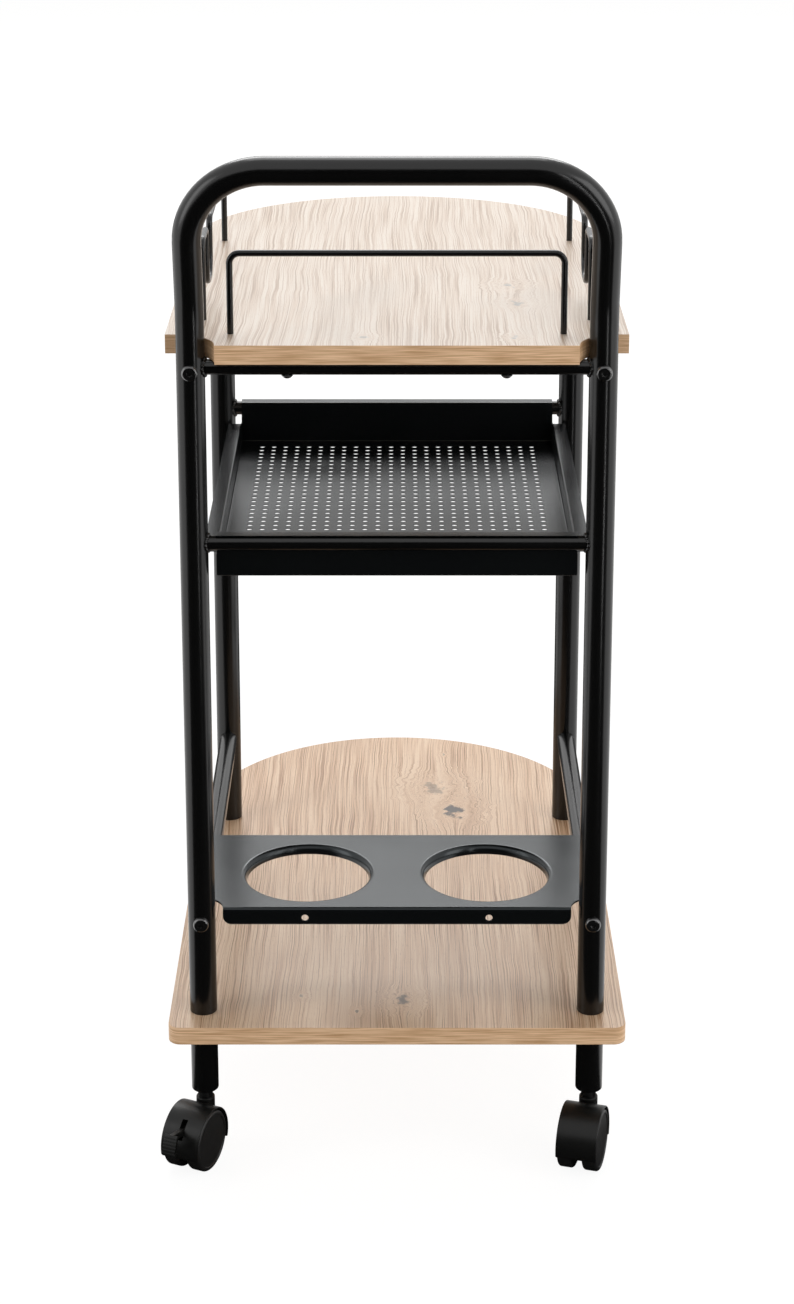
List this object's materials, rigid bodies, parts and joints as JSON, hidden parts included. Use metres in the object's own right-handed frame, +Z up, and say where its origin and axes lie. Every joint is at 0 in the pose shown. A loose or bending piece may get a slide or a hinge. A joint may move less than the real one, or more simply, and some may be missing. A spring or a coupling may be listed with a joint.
{
  "type": "serving cart",
  "caption": "Rolling serving cart: black tube frame with a push handle, oak-look boards rounded at one end, a lift-off sheet tray, a bottle plate and swivel casters.",
  "frame": {"origin": "on the floor, under the middle of the whole cart", "axes": "+Z up, +X across the cart to the right of someone at the handle, +Y from the handle end to the round end"},
  "size_m": [0.3826, 0.6265, 0.8397],
  "materials": {
    "frame_tube": "black satin powder coat",
    "tray_sheet": "black satin powder coat",
    "plate_sheet": "black satin powder coat",
    "top_board": "light oak decor, satin",
    "bottom_board": "light oak decor, satin",
    "rail_wire": "black satin powder coat",
    "black_screws": "black oxide",
    "plain_steel": "zinc plated",
    "black_steel_pin": "black",
    "black_plug": "moulded",
    "wheel_plastic": "moulded nylon",
    "hood_plastic": "moulded nylon"
  },
  "bodies": {
    "root": {"handle_frame": "frame_tube", "near_top_crossbar": "frame_tube", "near_tray_crossbar": "frame_tube", "rear_top_crossbar": "frame_tube", "rear_tray_crossbar": "frame_tube", "near_rail_bolts": "black_screws", "rear_rail_bolts": "black_screws", "rail_inserts": "black_plug", "rear_leg_caps": "black_plug", "leg_inserts": "black_plug", "leg_studs": "plain_steel", "foot_plugs": "black_plug", "caster_sockets": "black_plug", "shelf_screws": "black_screws", "rear_leg_left": "frame_tube", "upper_side_rail_left": "frame_tube", "lower_side_rail_left": "frame_tube", "foot_tube_near_left": "frame_tube", "foot_tube_rear_left": "frame_tube", "rear_leg_right": "frame_tube", "upper_side_rail_right": "frame_tube", "lower_side_rail_right": "frame_tube", "foot_tube_near_right": "frame_tube", "foot_tube_rear_right": "frame_tube", "top_shelf": "top_board", "bottom_shelf": "bottom_board", "bottle_plate": "plate_sheet", "end_guard_rail": "rail_wire", "side_guard_rail_left": "rail_wire", "side_guard_rail_right": "rail_wire"},
    "tray": {"tray": "tray_sheet"},
    "swivel_near_left": {"caster_hood_near_left": "hood_plastic", "caster_stem_near_left": "black_steel_pin", "caster_axle_near_left": "plain_steel"},
    "wheel_a_near_left": {"caster_wheel_a_near_left": "wheel_plastic"},
    "wheel_b_near_left": {"caster_wheel_b_near_left": "wheel_plastic"},
    "lever_near_left": {"brake_lever_near_left": "hood_plastic"},
    "swivel_near_right": {"caster_hood_near_right": "hood_plastic", "caster_stem_near_right": "black_steel_pin", "caster_axle_near_right": "plain_steel"},
    "wheel_a_near_right": {"caster_wheel_a_near_right": "wheel_plastic"},
    "wheel_b_near_right": {"caster_wheel_b_near_right": "wheel_plastic"},
    "swivel_rear_left": {"caster_hood_rear_left": "hood_plastic", "caster_stem_rear_left": "black_steel_pin", "caster_axle_rear_left": "plain_steel"},
    "wheel_a_rear_left": {"caster_wheel_a_rear_left": "wheel_plastic"},
    "wheel_b_rear_left": {"caster_wheel_b_rear_left": "wheel_plastic"},
    "swivel_rear_right": {"caster_hood_rear_right": "hood_plastic", "caster_stem_rear_right": "black_steel_pin", "caster_axle_rear_right": "plain_steel"},
    "wheel_a_rear_right": {"caster_wheel_a_rear_right": "wheel_plastic"},
    "wheel_b_rear_right": {"caster_wheel_b_rear_right": "wheel_plastic"},
    "lever_rear_right": {"brake_lever_rear_right": "hood_plastic"}
  },
  "joints": [
    {"name": "tray_lift", "type": "slide", "parent": "root", "child": "tray", "axis": [0, 0, 1], "range_m": [0, 0.1]},
    {"name": "swivel_near_left", "type": "hinge", "parent": "root", "child": "swivel_near_left", "pos_m": [-0.157, -0.25172, 0.0602], "axis": [0, 0, 1], "continuous": true},
    {"name": "roll_a_near_left", "type": "hinge", "parent": "swivel_near_left", "child": "wheel_a_near_left", "pos_m": [-0.16514, -0.26999, 0.025], "axis": [0.9135, -0.4067, 0], "continuous": true},
    {"name": "roll_b_near_left", "type": "hinge", "parent": "swivel_near_left", "child": "wheel_b_near_left", "pos_m": [-0.16514, -0.26999, 0.025], "axis": [0.9135, -0.4067, 0], "continuous": true},
    {"name": "brake_near_left", "type": "hinge", "parent": "swivel_near_left", "child": "lever_near_left", "pos_m": [-0.17041, -0.28182, 0.0389], "axis": [0.9135, -0.4067, 0], "range_deg": [0, 14]},
    {"name": "swivel_near_right", "type": "hinge", "parent": "root", "child": "swivel_near_right", "pos_m": [0.157, -0.25172, 0.0602], "axis": [0, 0, 1], "continuous": true},
    {"name": "roll_a_near_right", "type": "hinge", "parent": "swivel_near_right", "child": "wheel_a_near_right", "pos_m": [0.15149, -0.27094, 0.025], "axis": [0.9613, -0.2756, 0], "continuous": true},
    {"name": "roll_b_near_right", "type": "hinge", "parent": "swivel_near_right", "child": "wheel_b_near_right", "pos_m": [0.15149, -0.27094, 0.025], "axis": [0.9613, -0.2756, 0], "continuous": true},
    {"name": "swivel_rear_left", "type": "hinge", "parent": "root", "child": "swivel_rear_left", "pos_m": [-0.157, 0.12429, 0.0602], "axis": [0, 0, 1], "continuous": true},
    {"name": "roll_a_rear_left", "type": "hinge", "parent": "swivel_rear_left", "child": "wheel_a_rear_left", "pos_m": [-0.15149, 0.14351, 0.025], "axis": [-0.9613, 0.2756, 0], "continuous": true},
    {"name": "roll_b_rear_left", "type": "hinge", "parent": "swivel_rear_left", "child": "wheel_b_rear_left", "pos_m": [-0.15149, 0.14351, 0.025], "axis": [-0.9613, 0.2756, 0], "continuous": true},
    {"name": "swivel_rear_right", "type": "hinge", "parent": "root", "child": "swivel_rear_right", "pos_m": [0.157, 0.12429, 0.0602], "axis": [0, 0, 1], "continuous": true},
    {"name": "roll_a_rear_right", "type": "hinge", "parent": "swivel_rear_right", "child": "wheel_a_rear_right", "pos_m": [0.16514, 0.14256, 0.025], "axis": [-0.9135, 0.4067, 0], "continuous": true},
    {"name": "roll_b_rear_right", "type": "hinge", "parent": "swivel_rear_right", "child": "wheel_b_rear_right", "pos_m": [0.16514, 0.14256, 0.025], "axis": [-0.9135, 0.4067, 0], "continuous": true},
    {"name": "brake_rear_right", "type": "hinge", "parent": "swivel_rear_right", "child": "lever_rear_right", "pos_m": [0.17041, 0.15439, 0.0389], "axis": [-0.9135, 0.4067, 0], "range_deg": [0, 14]}
  ]
}
